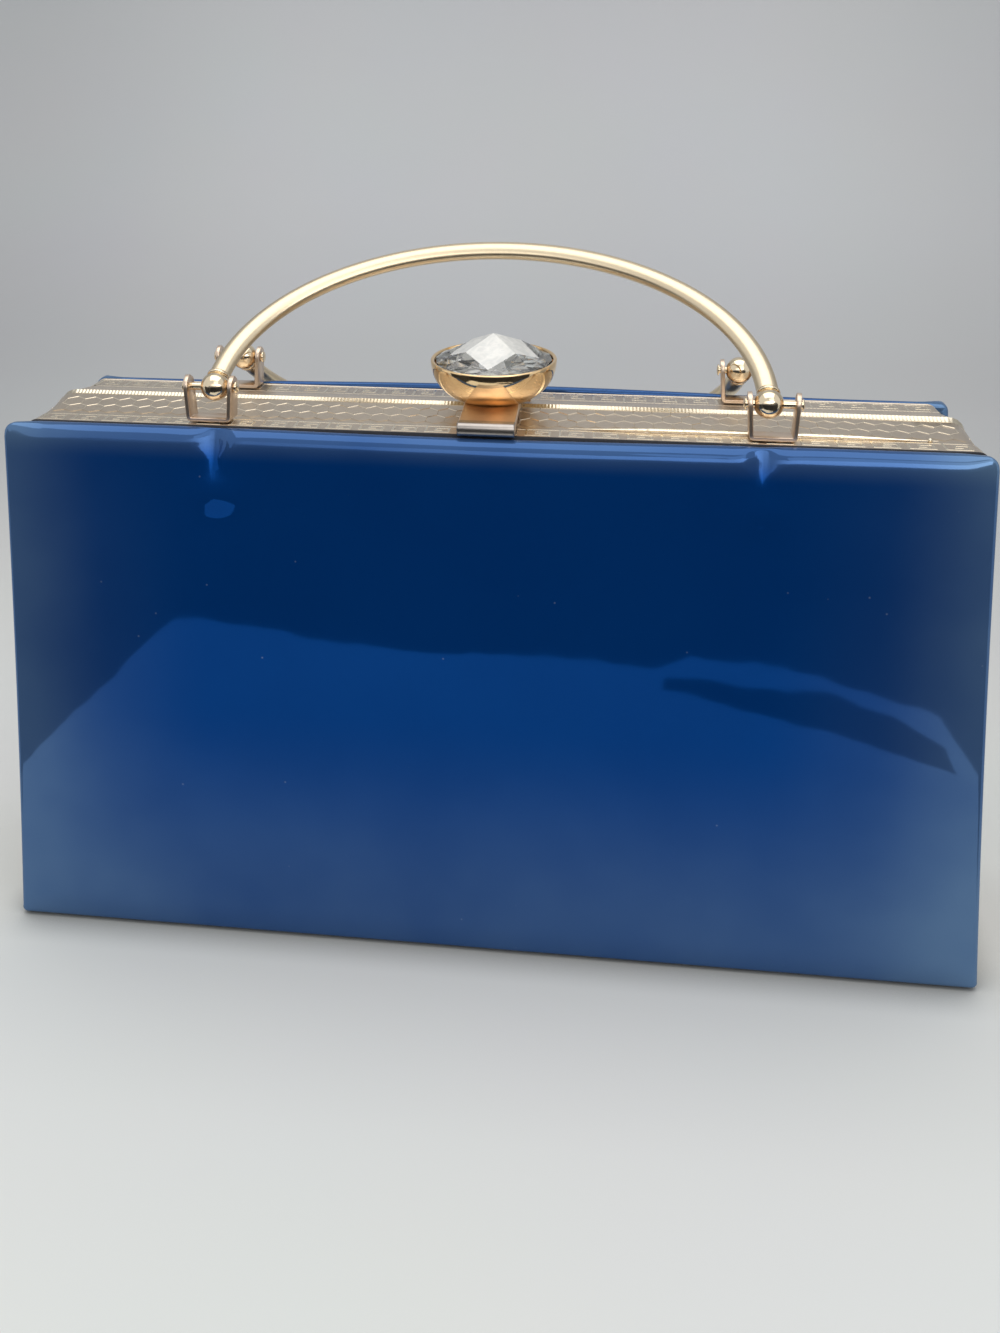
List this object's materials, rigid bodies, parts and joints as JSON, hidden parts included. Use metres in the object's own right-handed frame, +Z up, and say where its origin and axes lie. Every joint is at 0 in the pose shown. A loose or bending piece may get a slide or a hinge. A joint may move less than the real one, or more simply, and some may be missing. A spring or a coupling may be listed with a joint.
{
  "type": "evening clutch",
  "caption": "Rigid box clutch: padded patent panels on a stamped metal frame hinged along the bottom, arched tube handles on U brackets and a lift-up clasp with a pointed stone.",
  "frame": {"origin": "on the surface the bag stands on, under the middle of its whole outline, which runs from the front panel to the folded rear handle; the point lies on the flat underside of the rear half", "axes": "+X to the right across the bag as seen from the front, +Y from the front to the rear, +Z up"},
  "size_m": [0.2618, 0.0967, 0.1866],
  "materials": {
    "patent": "royal blue patent leather, high gloss, padded",
    "frame_metal": "pale champagne plate, stamped, satin",
    "polished_metal": "pale gold plate, polished",
    "warm_metal": "warm gold plate, polished",
    "crystal": "clear cut glass over foil"
  },
  "bodies": {
    "rear_half": {"rear_panel": "patent", "rear_frame": "frame_metal", "rear_base": "frame_metal", "rear_bracket_left": "polished_metal", "rear_bracket_right": "polished_metal", "rear_pin_left": "polished_metal", "rear_pin_right": "polished_metal", "clasp_seat": "frame_metal", "clasp_pin": "polished_metal", "hinge_pin": "frame_metal"},
    "front_half": {"front_panel": "patent", "front_frame": "frame_metal", "front_base": "frame_metal", "front_bracket_left": "polished_metal", "front_bracket_right": "polished_metal", "front_pin_left": "polished_metal", "front_pin_right": "polished_metal"},
    "front_handle": {"front_handle": "polished_metal"},
    "rear_handle": {"rear_handle": "polished_metal"},
    "clasp": {"clasp_lever": "warm_metal", "crystal": "crystal"}
  },
  "joints": [
    {"name": "opening", "type": "hinge", "parent": "rear_half", "child": "front_half", "pos_m": [0, -0.01668, 0.0019], "axis": [1, 0, 0], "range_deg": [0, 60]},
    {"name": "front_handle_swing", "type": "hinge", "parent": "front_half", "child": "front_handle", "pos_m": [0, -0.03648, 0.1529], "axis": [1, 0, 0], "range_deg": [-42, 179]},
    {"name": "rear_handle_swing", "type": "hinge", "parent": "rear_half", "child": "rear_handle", "pos_m": [-0.005, 0.00312, 0.1529], "axis": [1, 0, 0], "range_deg": [0, 144]},
    {"name": "clasp_lift", "type": "hinge", "parent": "rear_half", "child": "clasp", "pos_m": [0, -0.00768, 0.1494], "axis": [-1, 0, 0], "range_deg": [0, 40]}
  ]
}
